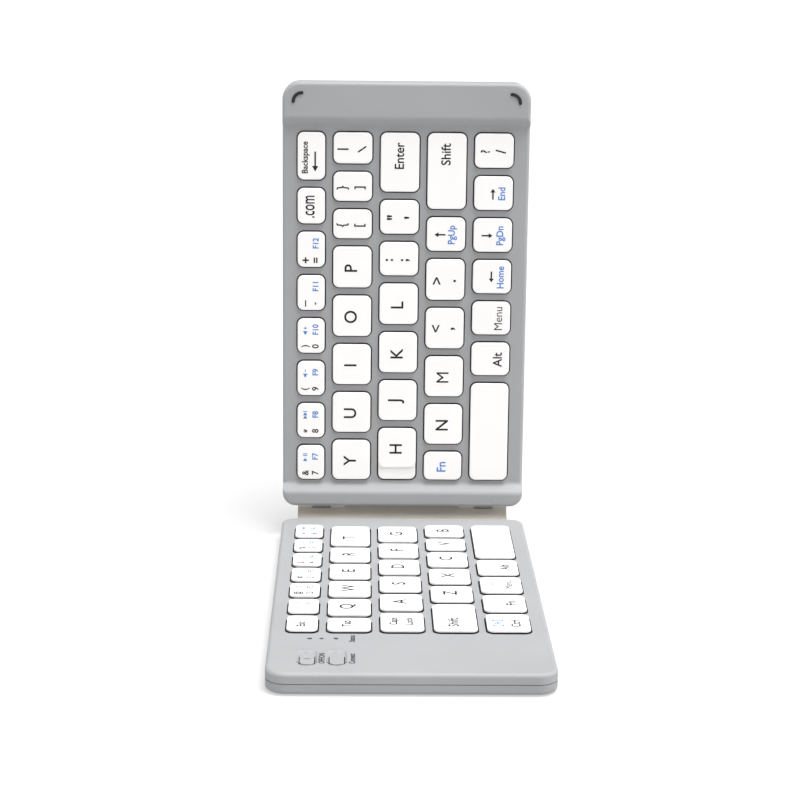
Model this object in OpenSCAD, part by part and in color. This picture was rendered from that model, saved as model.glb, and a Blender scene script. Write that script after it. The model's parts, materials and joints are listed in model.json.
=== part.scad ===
// Folding keyboard: two flat halves joined by a rigid hinge spine with two parallel axes.
// The left half lies on its feet. The right half stands open at open_angle.
// Origin: on the ground, at the middle of the left half's back foot beside the hinge.
// X runs along the key rows towards the right half, Y points away from the typist, Z is up.

/* [Fold] */
// Angle between the two halves, 0 shut and 180 flat (degrees)
open_angle = 92; // [10:1:180]

/* [Case] */
// Thickness of one half from its bottom skin to its key deck
case_t = 6.6; // [6.6:0.1:7.6]
// Height of the split between top and bottom case, below the deck
split_drop = 3.2; // [3.1:0.05:3.3]
// Thickness of the deck and floor skins
skin_t = 1.2; // [1.1:0.05:1.3]
// Thickness of the side walls
wall_t = 1.6; // [1.4:0.1:2]
// Thickness of the solid end block that holds the hinge lugs
hinge_block = 4.6; // [4.2:0.1:5]
// Corner radius in plan at the outer end
outer_r = 6; // [5:0.5:7]
// Corner radius in plan at the hinge end
inner_r = 4.5; // [4:0.5:5]
// Radius of the rounded rim
rim_r = 1.2; // [0.8:0.1:1.4]
// Height of the shadow gap at the split between top and bottom case
reveal_h = 0.25; // [0.15:0.05:0.4]
// Depth of the shadow gap
reveal_in = 0.35; // [0.2:0.05:0.5]
// Height of the right half's two end plateaus above its deck
plateau_h = 2.5; // [2.2:0.1:2.6]
// Length of the plateau beside the hinge
plateau_in = 5; // [4.5:0.1:5.5]
// Length of the slope from the hinge-side plateau down to the deck
ramp_in = 3; // [2.5:0.1:3.2]
// Length of the slope at the outer end
ramp_out = 2.3; // [2:0.1:3]
// Radius that rounds the top and the foot of both slopes
ramp_r = 2.2; // [0.5:0.1:2.2]

/* [Keys] */
// Width of a letter cap
cap_w = 14.1; // [13.8:0.1:14.3]
// Depth of a letter cap
cap_d = 13.1; // [12.8:0.1:13.3]
// Depth of a number row cap
num_d = 9.3; // [9:0.1:9.5]
// How much narrower a number row cap is than a letter cap
num_less = 2; // [1.8:0.1:2.2]
// How much narrower a punctuation or arrow cap is than a letter cap
small_less = 2.6; // [2.4:0.1:2.8]
// Gap between neighbouring caps
cap_gap = 2.9; // [2.8:0.05:3]
// Corner radius of a cap
cap_r = 2.1; // [1.8:0.1:2.4]
// Radius of the rounded top edge of a cap
cap_edge = 0.35; // [0.2:0.05:0.5]
// Height of the caps above the deck
cap_rise = 1.1; // [1:0.05:1.15]
// Travel of a key
key_travel = 1.2; // [1:0.05:1.25]
// Clearance between a cap and its opening in the deck
cap_clear = 0.45; // [0.35:0.05:0.5]
// Length of the right key field beyond seven letter pitches
field_more_right = 2.1; // [1.8:0.1:2.6]
// Length of the left key field beyond six letter pitches
field_more_left = 1.5; // [1.2:0.1:2]
// Distance from the hinge end to the first key, right half
start_right = 9.4; // [9.2:0.1:10]
// Distance from the hinge end to the first key, left half
start_left = 11.3; // [10.5:0.1:12]
// Distance from the last key to the outer end, right half
end_right = 17; // [16.5:0.1:18]
// Margin behind the number row
top_margin = 5.15; // [5:0.05:5.3]
// Margin in front of the space bar row
front_margin = 5.55; // [5.4:0.05:6]

/* [Hinge] */
// Distance between the two hinge axes
axis_gap = 10; // [9.9:0.05:10.3]
// Depth of the hinge axes below the deck
axis_drop = 3.5; // [3.5:0.05:3.6]
// Length of the spine along the hinge
spine_w = 73.6; // [70:0.2:74]
// Radius of the hinge barrels and lugs
barrel_r = 1.8; // [1.6:0.05:1.85]
// Length of one spine barrel
barrel_len = 5; // [4:0.5:6]
// Length of one case lug
lug_len = 6; // [5:0.5:7]
// Radius of the steel hinge pins
pin_r = 0.7; // [0.6:0.05:0.8]
// Running clearance of the pins in the case lugs
pin_fit = 0.05; // [0.03:0.01:0.08]

/* [Controls] */
// Length of a push-button
button_len = 8; // [7:0.5:8.5]
// Width of a push-button
button_w = 4.2; // [4:0.1:4.5]
// Distance of the push-buttons from the outer end
button_in = 10.8; // [10.5:0.1:11.5]
// Height of the push-buttons above the deck
button_rise = 0.3; // [0.1:0.05:0.35]
// Travel of a push-button
button_travel = 0.4; // [0.3:0.05:0.4]
// Distance of the status windows from the outer end
window_in = 28.1; // [27.5:0.1:28.5]
// Radius of a status window
window_r = 0.6; // [0.5:0.05:0.7]
// Distance of the charging socket from the outer end
socket_in = 27; // [26.5:0.1:27.5]
// Width of the charging socket
socket_w = 7.6; // [7.4:0.1:8]
// Height of the charging socket
socket_h = 2.6; // [2.4:0.05:2.6]

/* [Feet and bumpers] */
// Height of the rubber feet below the case
foot_h = 0.4; // [0.3:0.05:0.6]
// Radius of a rubber foot
foot_r = 4; // [3:0.5:5]
// Height of the corner bumpers above the outer plateau
bumper_h = 0.3; // [0.2:0.05:0.35]
// Radius of the arc of a corner bumper
bumper_arc = 2.9; // [2.5:0.1:3.2]
// Width of a corner bumper
bumper_w = 1.1; // [0.9:0.1:1.3]

/* [Hidden] */
$fn = 48;
fit = 0.3; // clearance round turning parts
eps = 0.01;
num_w = cap_w - num_less;
small_w = cap_w - small_less;
field_right = 7 * (cap_w + cap_gap) + field_more_right;
field_left = 6 * (cap_w + cap_gap) + field_more_left;
case_depth = top_margin + num_d + 4 * (cap_d + cap_gap) + front_margin;
half_len = start_right + field_right + end_right;
fold = 180 - open_angle;
axis_out = 0.2; // the axes stand this far outside the end faces
spine_t = 3.0; // outer face of the spine, measured from the axes
spine_in = 0.3; // inner face of the spine, measured from the axes
deck_z = foot_h + case_t;
axis_z = deck_z - axis_drop;
flange_out = cap_clear + 0.3; // lip that holds a cap under the deck
flange_t = 0.4;
flange_gap = 0.05;
cap_wall = 0.9;
cap_roof = 0.9;
step_drop = 0.55; // ledge of the caps beside the hinge
sheet_drop = skin_t + flange_gap + flange_t + key_travel + 0.25;
sheet_t = 0.35;
plate_t = 0.5;
plate_drop = sheet_drop + sheet_t;
dome_r = 2.4;
dome_top_r = 1.5;
dome_h = sheet_drop + cap_rise - cap_roof - key_travel - 0.15;
floor_drop = case_t - skin_t;
field_end_left = start_left + field_left;
control_start = field_end_left + 1.8;
board_t = 1;
board_drop = floor_drop - 0.3 - board_t;
button_y = [case_depth / 2 - 11.9, case_depth / 2 - 20.5];
window_y = [case_depth / 2 - 12.2, case_depth / 2 - 15.8, case_depth / 2 - 20];
dimple_len = 13.3;
dimple_w = 6;
dimple_d = 0.4;
foot_in = 0.5; // depth of a foot in its recess
foot_near = 12; // hinge-side feet, from the hinge end
foot_far = 11; // outer feet, from the outer end
foot_y = case_depth / 2 - 11;
foot_places = [[foot_near, foot_y], [foot_near, -foot_y], [half_len - foot_far, foot_y],
    [half_len - foot_far, -foot_y]];
board_front = case_depth / 2 - 33;
battery_front = -case_depth / 2 + wall_t + 1.9;
battery_d = board_front - 2.5 - battery_front;
knuckle = 2 * barrel_len + lug_len + 2 * fit;
lug_y = spine_w / 2 - barrel_len - fit - lug_len / 2;
pin_len = knuckle - 1.6;

// Key rows from the back to the front, each listed from the hinge outwards:
// node that the cap belongs to, cap width (0 takes what is left of the row), ledge length
left_rows = [
    [for (i = [0 : 6]) ["left_number_keys", i == 0 ? num_w + 1 : i == 6 ? 0 : num_w, 0]],
    [["key_t", cap_w + 7.9, 7.9], ["key_r", cap_w, 0], ["key_e", cap_w, 0], ["key_w", cap_w, 0],
     ["key_q", cap_w, 0], ["key_tab", 0, 0]],
    [["key_g", cap_w + 3.3, 3.3], ["key_f", cap_w, 0], ["key_d", cap_w, 0], ["key_s", cap_w, 0],
     ["key_a", cap_w, 0], ["key_caps_lock", 0, 0]],
    [["key_b", small_w + 0.3, 0], ["key_v", small_w + 0.3, 0], ["key_c", cap_w, 0],
     ["key_x", cap_w, 0], ["key_z", cap_w, 0], ["key_shift_left", 0, 0]],
    [["key_space_left", 2 * cap_w + 6.1, 0], ["left_modifier_keys", cap_w + 0.3, 0],
     ["left_modifier_keys", cap_w + 0.3, 0], ["left_modifier_keys", cap_w + 0.3, 0],
     ["left_modifier_keys", 0, 0]]
];
right_rows = [
    [for (i = [0 : 7]) [i == 7 ? "key_backspace" : "right_number_keys", i == 7 ? 0 : num_w, 0]],
    [["key_y", cap_w, 0], ["key_u", cap_w, 0], ["key_i", cap_w, 0], ["key_o", cap_w, 0],
     ["key_p", cap_w, 0], ["right_symbol_keys", small_w - 1.6, 0],
     ["right_symbol_keys", small_w - 1.6, 0], ["right_symbol_keys", 0, 0]],
    [["key_h", cap_w + 4.3, 4.3], ["key_j", cap_w, 0], ["key_k", cap_w, 0], ["key_l", cap_w, 0],
     ["right_symbol_keys", small_w, 0], ["right_symbol_keys", small_w, 0], ["key_enter", 0, 0]],
    [["right_modifier_keys", small_w - 1.5, 0], ["key_n", cap_w, 0], ["key_m", cap_w, 0],
     ["right_symbol_keys", cap_w, 0], ["right_symbol_keys", cap_w, 0], ["arrow_keys", small_w, 0],
     ["key_shift_right", 0, 0]],
    [["key_space_right", 2 * cap_w + 6.4, 0], ["right_modifier_keys", small_w, 0],
     ["right_modifier_keys", small_w, 0], ["arrow_keys", small_w, 0], ["arrow_keys", small_w, 0],
     ["arrow_keys", small_w, 0], ["right_symbol_keys", 0, 0]]
];

CASE_NODES = ["left_top_case", "left_bottom_case", "right_top_case", "right_bottom_case",
    "hinge_spine", "hinge_pins", "ribbon_cable", "power_button", "connect_button",
    "status_windows", "charging_socket", "corner_bumpers", "left_feet", "right_feet", "battery",
    "main_board", "left_switch_sheet", "right_switch_sheet", "left_support_plate",
    "right_support_plate"];
LEFT_KEYS = ["left_number_keys", "key_t", "key_r", "key_e", "key_w", "key_q", "key_tab", "key_g",
    "key_f", "key_d", "key_s", "key_a", "key_caps_lock", "key_b", "key_v", "key_c", "key_x",
    "key_z", "key_shift_left", "key_space_left", "left_modifier_keys"];
RIGHT_KEYS = ["right_number_keys", "key_backspace", "key_y", "key_u", "key_i", "key_o", "key_p",
    "right_symbol_keys", "key_h", "key_j", "key_k", "key_l", "key_enter", "right_modifier_keys",
    "key_n", "key_m", "arrow_keys", "key_shift_right", "key_space_right"];

// Sum of the widths before cap n in a row, with their gaps
function run_to(row, n) = n == 0 ? 0 : run_to(row, n - 1) + row[n - 1][1] + cap_gap;
// Width of cap n, where 0 means the rest of the field
function width_of(row, n, field) = row[n][1] > 0 ? row[n][1] : field - run_to(row, n);
// Depth of the caps in row i, and the middle of that row
function depth_of(i) = i == 0 ? num_d : cap_d;
function row_y(i) = case_depth / 2 - top_margin - depth_of(i) / 2
    - (i == 0 ? 0 : num_d + cap_gap + (i - 1) * (cap_d + cap_gap));

// ---------- placing the halves ----------

// Left half: local x runs from the hinge end outwards, local z = 0 is the deck
module left_place() {
    translate([foot_near, -foot_y, deck_z])
        mirror([1, 0, 0])
            children();
}

// The spine: local origin on the left axis, local x towards the right axis when flat
module spine_place() {
    translate([foot_near + axis_out, -foot_y, axis_z])
        rotate([0, -fold / 2, 0])
            children();
}

// Right half: folded up about both axes
module right_place() {
    spine_place()
        translate([axis_gap, 0, 0])
            rotate([0, -fold / 2, 0])
                translate([axis_out, 0, axis_drop])
                    children();
}

// ---------- shared shapes ----------

// Rectangle with round corners, centred
module round_rect(w, d, r) {
    square([w - 2 * r, d], center = true);
    square([w, d - 2 * r], center = true);
    for (sx = [-1, 1], sy = [-1, 1])
        translate([sx * (w / 2 - r), sy * (d / 2 - r)])
            circle(r);
}

// Outline of a slab seen from its end, with both top corners rounded
module soft_profile(w, h, f) {
    translate([-w / 2, 0])
        square([w, h - f]);
    translate([-w / 2 + f, 0])
        square([w - 2 * f, h]);
    for (s = [-1, 1])
        translate([s * (w / 2 - f), h - f])
            circle(f);
}

// Post with a rounded top rim
module soft_post(r, h, f) {
    rotate_extrude()
        union() {
            square([r, h - f]);
            square([r - f, h]);
            translate([r - f, h - f])
                intersection() {
                    circle(f);
                    square([f, f]);
                }
        }
}

// Slab with round corners in plan and a rounded top rim, standing on z = 0
module soft_slab(w, d, h, r, f) {
    rotate([90, 0, 90])
        linear_extrude(w - 2 * r, center = true)
            soft_profile(d, h, f);
    rotate([90, 0, 0])
        linear_extrude(d - 2 * r, center = true)
            soft_profile(w, h, f);
    for (sx = [-1, 1], sy = [-1, 1])
        translate([sx * (w / 2 - r), sy * (d / 2 - r), 0])
            soft_post(r, h, f);
}

// Slab of one case half: tighter corners at the hinge end, rounded top rim
module case_slab(h) {
    translate([inner_r, 0, 0])
        rotate([90, 0, 90])
            linear_extrude(half_len - inner_r - outer_r)
                soft_profile(case_depth, h, rim_r);
    translate([half_len / 2, 0, 0])
        rotate([90, 0, 0])
            linear_extrude(case_depth - 2 * outer_r, center = true)
                soft_profile(half_len, h, rim_r);
    translate([half_len / 4, 0, 0])
        rotate([90, 0, 0])
            linear_extrude(case_depth - 2 * inner_r, center = true)
                soft_profile(half_len / 2, h, rim_r);
    for (s = [-1, 1]) {
        translate([inner_r, s * (case_depth / 2 - inner_r), 0])
            soft_post(inner_r, h, rim_r);
        translate([half_len - outer_r, s * (case_depth / 2 - outer_r), 0])
            soft_post(outer_r, h, rim_r);
    }
}

// Plan of a half, drawn in by inset
module case_outline(inset) {
    translate([inner_r, inset - case_depth / 2])
        square([half_len - inner_r - outer_r, case_depth - 2 * inset]);
    translate([inset, inner_r - case_depth / 2])
        square([half_len / 2, case_depth - 2 * inner_r]);
    translate([half_len / 2, outer_r - case_depth / 2])
        square([half_len / 2 - inset, case_depth - 2 * outer_r]);
    for (s = [-1, 1]) {
        translate([inner_r, s * (case_depth / 2 - inner_r)])
            circle(inner_r - inset);
        translate([half_len - outer_r, s * (case_depth / 2 - outer_r)])
            circle(outer_r - inset);
    }
}

// Shadow gap that runs round the bottom case just below the split
module split_reveal() {
    translate([0, 0, -split_drop - reveal_h])
        linear_extrude(reveal_h + 1)
            difference() {
                translate([-1, -case_depth / 2 - 1])
                    square([half_len + 2, case_depth + 2]);
                case_outline(reveal_in);
            }
}

// Room inside a half, from z = low to z = high
module case_room(low, high) {
    translate([(hinge_block + half_len - wall_t) / 2, 0, low])
        linear_extrude(high - low)
            round_rect(half_len - wall_t - hinge_block, case_depth - 2 * wall_t, 3);
}

// Runs its children at the centre of every cap of a half
module at_caps(rows, start, field, wanted = "") {
    for (i = [0 : len(rows) - 1], n = [0 : len(rows[i]) - 1])
        if (wanted == "" || rows[i][n][0] == wanted) {
            $cap_width = width_of(rows[i], n, field);
            $cap_depth = depth_of(i);
            $cap_ledge = rows[i][n][2];
            translate([start + run_to(rows[i], n) + $cap_width / 2, row_y(i), 0])
                children();
        }
}

// Openings in the deck for the caps
module cap_openings(rows, start, field) {
    at_caps(rows, start, field)
        translate([0, 0, -skin_t - 1])
            linear_extrude(skin_t + 3)
                round_rect($cap_width + 2 * cap_clear, $cap_depth + 2 * cap_clear,
                    cap_r + cap_clear);
}

// One hollow key cap with a lip under the deck. The caps beside the hinge have a lower ledge
module key_cap() {
    skirt = skin_t + flange_gap;
    rise = cap_rise + skirt;
    difference() {
        union() {
            if ($cap_ledge > 0) {
                translate([$cap_ledge / 2, 0, -skirt])
                    soft_slab($cap_width - $cap_ledge, $cap_depth, rise, cap_r, cap_edge);
                translate([0, 0, -skirt])
                    soft_slab($cap_width, $cap_depth, rise - step_drop, cap_r, cap_edge);
            } else {
                translate([0, 0, -skirt])
                    soft_slab($cap_width, $cap_depth, rise, cap_r, cap_edge);
            }
            translate([0, 0, -skirt - flange_t])
                linear_extrude(flange_t)
                    round_rect($cap_width + 2 * flange_out, $cap_depth + 2 * flange_out,
                        cap_r + flange_out);
        }
        translate([$cap_ledge / 2, 0, -skirt - flange_t - 1])
            linear_extrude(rise + flange_t + 1 - cap_roof)
                round_rect($cap_width - $cap_ledge - 2 * cap_wall, $cap_depth - 2 * cap_wall,
                    cap_r - 0.6);
    }
}

// ---------- cases ----------

// Cylinders along the hinge axis, local to a half, over the given stretches
module along_axis(r, length, centres) {
    for (y = centres)
        translate([-axis_out, y, -axis_drop])
            rotate([90, 0, 0])
                cylinder(r = r, h = length, center = true);
}

// Pockets that a half leaves for the spine barrels and for the lug's upper part
module barrel_pockets() {
    along_axis(barrel_r + fit, knuckle + 2 * fit, [spine_w / 2 - knuckle / 2 + fit / 2,
        knuckle / 2 - spine_w / 2 - fit / 2]);
}

// Bottom case of a half: floor, walls, plate pads, foot recesses and hinge lugs
module bottom_case(pads_to) {
    low = -case_t;
    difference() {
        union() {
            difference() {
                translate([0, 0, -split_drop])
                    mirror([0, 0, 1])
                        case_slab(case_t - split_drop);
                case_room(-floor_drop, 0);
                split_reveal();
                barrel_pockets();
            }
            for (x = [hinge_block + 6 : (pads_to - hinge_block - 12) / 4 : pads_to], y = [-26, 0, 26])
                translate([x, y, -floor_drop - eps])
                    cylinder(r = 2.5, h = floor_drop - plate_drop - plate_t + eps);
            for (s = [-1, 1])
                lug(s);
        }
        along_axis(pin_r + pin_fit, lug_len + 2 * fit, [lug_y, -lug_y]);
        for (p = foot_places)
            translate([p[0], p[1], low - 1])
                cylinder(r = foot_r, h = foot_in + 1);
    }
}

// One hinge lug, joined to the end block below the split
module lug(side) {
    translate([0, side * lug_y, 0]) {
        along_axis(barrel_r, lug_len, [0]);
        translate([-axis_out, -lug_len / 2, -axis_drop - barrel_r])
            cube([axis_out + barrel_r + fit + 0.4, lug_len, barrel_r + axis_drop - split_drop - eps]);
    }
}

module left_top_case() {
    color("gainsboro")
        left_place()
            difference() {
                translate([0, 0, -split_drop])
                    case_slab(split_drop);
                case_room(-split_drop - 1, -skin_t);
                barrel_pockets();
                cap_openings(left_rows, start_left, field_left);
                for (y = button_y)
                    translate([half_len - button_in, y, 0]) {
                        translate([-2.2, 0, -dimple_d])
                            linear_extrude(dimple_d + 1)
                                round_rect(dimple_len, dimple_w, dimple_w / 2 - eps);
                        translate([0, 0, -skin_t - 1])
                            linear_extrude(skin_t + 2)
                                round_rect(button_len + 2 * fit, button_w + 2 * fit, 1.8);
                    }
                for (y = window_y)
                    translate([half_len - window_in, y, -skin_t - 1])
                        cylinder(r = window_r, h = skin_t + 2);
                socket_opening();
            }
}

module left_bottom_case() {
    color("silver")
        left_place()
            difference() {
                bottom_case(field_end_left);
                socket_opening();
            }
}

// Flared opening for the plug in the side wall, shared by both cases
module socket_opening() {
    translate([half_len - socket_in, case_depth / 2 - wall_t / 2 + 1, socket_z() + socket_h / 2])
        rotate([90, 0, 0])
            linear_extrude(wall_t + 3, center = true)
                round_rect(socket_w + 0.4, socket_h + 0.4, 0.7);
    translate([half_len - socket_in, case_depth / 2, socket_z() + socket_h / 2])
        rotate([90, 0, 0])
            linear_extrude(1.2, center = true)
                round_rect(socket_w + 4, socket_h + 1.2, 1.8);
}

// Sliver outside the round top of a slope that starts at x, runs the given way and length
module ramp_top(x, way, run) {
    slope = atan(plateau_h / run);
    t = ramp_r * tan(slope / 2);
    difference() {
        polygon([[x, plateau_h], [x - way * t, plateau_h + eps], [x - way * t, plateau_h - ramp_r],
            [x + way * t * cos(slope), plateau_h - t * sin(slope)]]);
        translate([x - way * t, plateau_h - ramp_r])
            circle(ramp_r);
    }
}

// Fillet at the foot of a slope that ends at x
module ramp_foot(x, way, run) {
    slope = atan(plateau_h / run);
    t = ramp_r * tan(slope / 2);
    difference() {
        polygon([[x, 0], [x + way * t, -eps], [x + way * t, ramp_r],
            [x - way * t * cos(slope), t * sin(slope)]]);
        translate([x + way * t, ramp_r])
            circle(ramp_r);
    }
}

module right_top_case() {
    color("gainsboro")
        right_place()
            difference() {
                translate([0, 0, -split_drop])
                    case_slab(split_drop + plateau_h);
                case_room(-split_drop - 1, -skin_t);
                barrel_pockets();
                rotate([90, 0, 0])
                    linear_extrude(case_depth + 2, center = true)
                        difference() {
                            union() {
                                polygon([[plateau_in, plateau_h], [plateau_in + ramp_in, 0],
                                    [half_len - end_right + ramp_out, 0],
                                    [half_len - end_right + 2 * ramp_out, plateau_h],
                                    [half_len - end_right + 2 * ramp_out, plateau_h + 1],
                                    [plateau_in, plateau_h + 1]]);
                                ramp_top(plateau_in, 1, ramp_in);
                                ramp_top(half_len - end_right + 2 * ramp_out, -1, ramp_out);
                            }
                            ramp_foot(plateau_in + ramp_in, 1, ramp_in);
                            ramp_foot(half_len - end_right + ramp_out, -1, ramp_out);
                        }
                for (s = [-1, 1])
                    translate([plateau_in + ramp_in, s * case_depth / 2, 0])
                        rotate([90, 0, 90])
                            linear_extrude(half_len - end_right + ramp_out - plateau_in - ramp_in)
                                difference() {
                                    square(2 * rim_r, center = true);
                                    translate([-s * rim_r, -rim_r])
                                        circle(rim_r);
                                    translate([-s * 2 * rim_r, -rim_r])
                                        square([2 * rim_r, 4 * rim_r], center = true);
                                    translate([0, -2 * rim_r])
                                        square([4 * rim_r, 2 * rim_r], center = true);
                                }
                cap_openings(right_rows, start_right, field_right);
                translate([0, 0, plateau_h - 0.5])
                    bumper_arcs(1.5, 0);
            }
}

module right_bottom_case() {
    color("silver")
        right_place()
            bottom_case(half_len - end_right);
}

// ---------- hinge ----------

module hinge_spine() {
    low = -spine_t;
    span = axis_gap - 2 * fit / 2;
    color("silver")
        spine_place()
            difference() {
                union() {
                    rotate([90, 0, 0])
                        linear_extrude(spine_w, center = true)
                            union() {
                                translate([fit / 2, low + 1])
                                    square([span, spine_t - spine_in - 1]);
                                translate([fit / 2 + 1, low])
                                    square([span - 2, spine_t - spine_in]);
                                for (x = [fit / 2 + 1, axis_gap - fit / 2 - 1])
                                    translate([x, low + 1])
                                        circle(1);
                            }
                    for (x = [0, axis_gap], y = [-1, 1], k = [-1, 1])
                        translate([x, y * (lug_y + k * (lug_len / 2 + fit + barrel_len / 2)), 0])
                            rotate([90, 0, 0])
                                cylinder(r = barrel_r, h = barrel_len, center = true);
                }
                for (x = [0, axis_gap], y = [-1, 1])
                    translate([x, y * lug_y, 0])
                        rotate([90, 0, 0]) {
                            cylinder(r = barrel_r + fit, h = lug_len + 2 * fit, center = true);
                            cylinder(r = pin_r, h = pin_len, center = true);
                        }
                translate([axis_gap / 2, 0, -1.7])
                    cube([axis_gap + 2, 20.6, 0.7], center = true);
            }
}

module hinge_pins() {
    color("dimgray")
        spine_place()
            for (x = [0, axis_gap], y = [-1, 1])
                translate([x, y * lug_y, 0])
                    rotate([90, 0, 0])
                        cylinder(r = pin_r, h = pin_len, center = true);
}

module ribbon_cable() {
    color("peru")
        spine_place()
            translate([axis_gap / 2, 0, -2.05 + 0.15])
                cube([axis_gap - 1.4, 20, 0.3], center = true);
}

// ---------- keys ----------

module left_key(name) {
    color("white")
        left_place()
            at_caps(left_rows, start_left, field_left, name)
                key_cap();
}

module right_key(name) {
    color("white")
        right_place()
            at_caps(right_rows, start_right, field_right, name)
                key_cap();
}

// ---------- controls ----------

// Push-button with a lip under the deck
module push_button(y) {
    color("gainsboro")
        left_place()
            translate([half_len - button_in, y, -skin_t - 0.05]) {
                soft_slab(button_len, button_w, skin_t + 0.05 + button_rise, 1.5, 0.2);
                translate([0, 0, -0.5])
                    linear_extrude(0.5)
                        round_rect(button_len + 1.6, button_w + 1.6, 1.8);
            }
}

module status_windows() {
    color("whitesmoke")
        left_place()
            for (y = window_y)
                translate([half_len - window_in, y, -skin_t - 0.3])
                    cylinder(r = window_r, h = skin_t + 0.3);
}

function socket_z() = -board_drop;

module charging_socket() {
    color("silver")
        left_place()
            translate([half_len - socket_in, case_depth / 2 - 0.8 - 2.75, socket_z() + socket_h / 2])
                rotate([90, 0, 0])
                    difference() {
                        linear_extrude(5.5, center = true)
                            round_rect(socket_w, socket_h, 0.6);
                        translate([0, 0, -2.75])
                            linear_extrude(8, center = true)
                                round_rect(socket_w - 0.6, socket_h - 0.6, 0.4);
                        translate([0, 0, -3.75])
                            linear_extrude(2, center = true)
                                square([socket_w + 1, socket_h + 1], center = true);
                    }
}

// ---------- feet and bumpers ----------

module feet() {
    for (p = foot_places)
        translate([p[0], p[1], -case_t - foot_h])
            cylinder(r = foot_r, h = foot_h + foot_in);
}

module left_feet() {
    color("dimgray")
        left_place()
            feet();
}

module right_feet() {
    color("dimgray")
        right_place()
            feet();
}

// Quarter arcs near the outer corners of the outer plateau, with round ends
module bumper_arcs(h, grow) {
    for (s = [-1, 1])
        translate([half_len - outer_r - 0.6, s * (case_depth / 2 - outer_r - 0.6), 0])
            rotate([0, 0, s > 0 ? 0 : -90]) {
                rotate_extrude(angle = 90)
                    translate([bumper_arc - bumper_w / 2 - grow, 0])
                        square([bumper_w + 2 * grow, h]);
                for (a = [0, 90])
                    rotate([0, 0, a])
                        translate([bumper_arc, 0, 0])
                            cylinder(r = bumper_w / 2 + grow, h = h);
            }
}

module corner_bumpers() {
    color("black")
        right_place()
            translate([0, 0, plateau_h - 0.5])
                bumper_arcs(0.5 + bumper_h, 0);
}

// ---------- inside ----------

// Layer under the key field, from the end block to x = far
module field_layer(far, drop, t) {
    translate([(hinge_block + fit + far) / 2, 0, -drop - t])
        linear_extrude(t)
            round_rect(far - hinge_block - fit, case_depth - 2 * wall_t - 2 * fit, 2);
}

module switch_sheet(rows, start, field, far) {
    field_layer(far, sheet_drop, sheet_t);
    at_caps(rows, start, field)
        translate([$cap_ledge / 2, 0, -sheet_drop - eps])
            cylinder(r1 = dome_r, r2 = dome_top_r, h = dome_h + eps);
}

module left_switch_sheet() {
    color("lightgray")
        left_place()
            switch_sheet(left_rows, start_left, field_left, control_start - 0.4);
}

module right_switch_sheet() {
    color("lightgray")
        right_place()
            switch_sheet(right_rows, start_right, field_right, half_len - end_right + 3);
}

module left_support_plate() {
    color("slategray")
        left_place()
            field_layer(control_start - 0.4, plate_drop, plate_t);
}

module right_support_plate() {
    color("slategray")
        right_place()
            field_layer(half_len - end_right + 3, plate_drop, plate_t);
}

module battery() {
    low = -floor_drop + 0.1;
    color("dimgray")
        left_place()
            translate([(control_start + half_len - wall_t) / 2, battery_front + battery_d / 2,
                low - 0.1])
                linear_extrude(floor_drop - skin_t - 0.4)
                    round_rect(half_len - wall_t - control_start - 1.2, battery_d, 1.5);
}

// Circuit board with its button switches, controller chip and lights
module main_board() {
    back = case_depth / 2 - wall_t - fit;
    long = half_len - wall_t - control_start - 0.9;
    color("darkgreen")
        left_place() {
            translate([control_start + 0.4 + long / 2, (back + board_front) / 2,
                -board_drop - board_t])
                linear_extrude(board_t)
                    round_rect(long, back - board_front, 3);
            for (y = button_y)
                translate([half_len - button_in - 1.5, y - 1.5, -board_drop - eps])
                    cube([3, 3, board_drop - skin_t - 0.55 - button_travel - 0.1 + eps]);
            for (y = window_y)
                translate([half_len - window_in - 0.5, y - 0.5, -board_drop - eps])
                    cube([1, 1, 0.8 + eps]);
            translate([half_len - 24, board_front + 2, -board_drop - eps])
                cube([6, 5, 0.9 + eps]);
        }
}

// ---------- nodes ----------

left_top_case();
left_bottom_case();
right_top_case();
right_bottom_case();
hinge_spine();
hinge_pins();
ribbon_cable();
push_button(button_y[0]);  // power_button
push_button(button_y[1]);  // connect_button
status_windows();
charging_socket();
corner_bumpers();
left_feet();
right_feet();
battery();
main_board();
left_switch_sheet();
right_switch_sheet();
left_support_plate();
right_support_plate();
for (k = LEFT_KEYS) left_key(k);
for (k = RIGHT_KEYS) right_key(k);
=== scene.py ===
import json
import math

import bpy
import bmesh
from bpy.props import FloatProperty, FloatVectorProperty, PointerProperty
from bpy.types import Operator, Panel, PropertyGroup
from mathutils import Matrix, Vector


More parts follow.
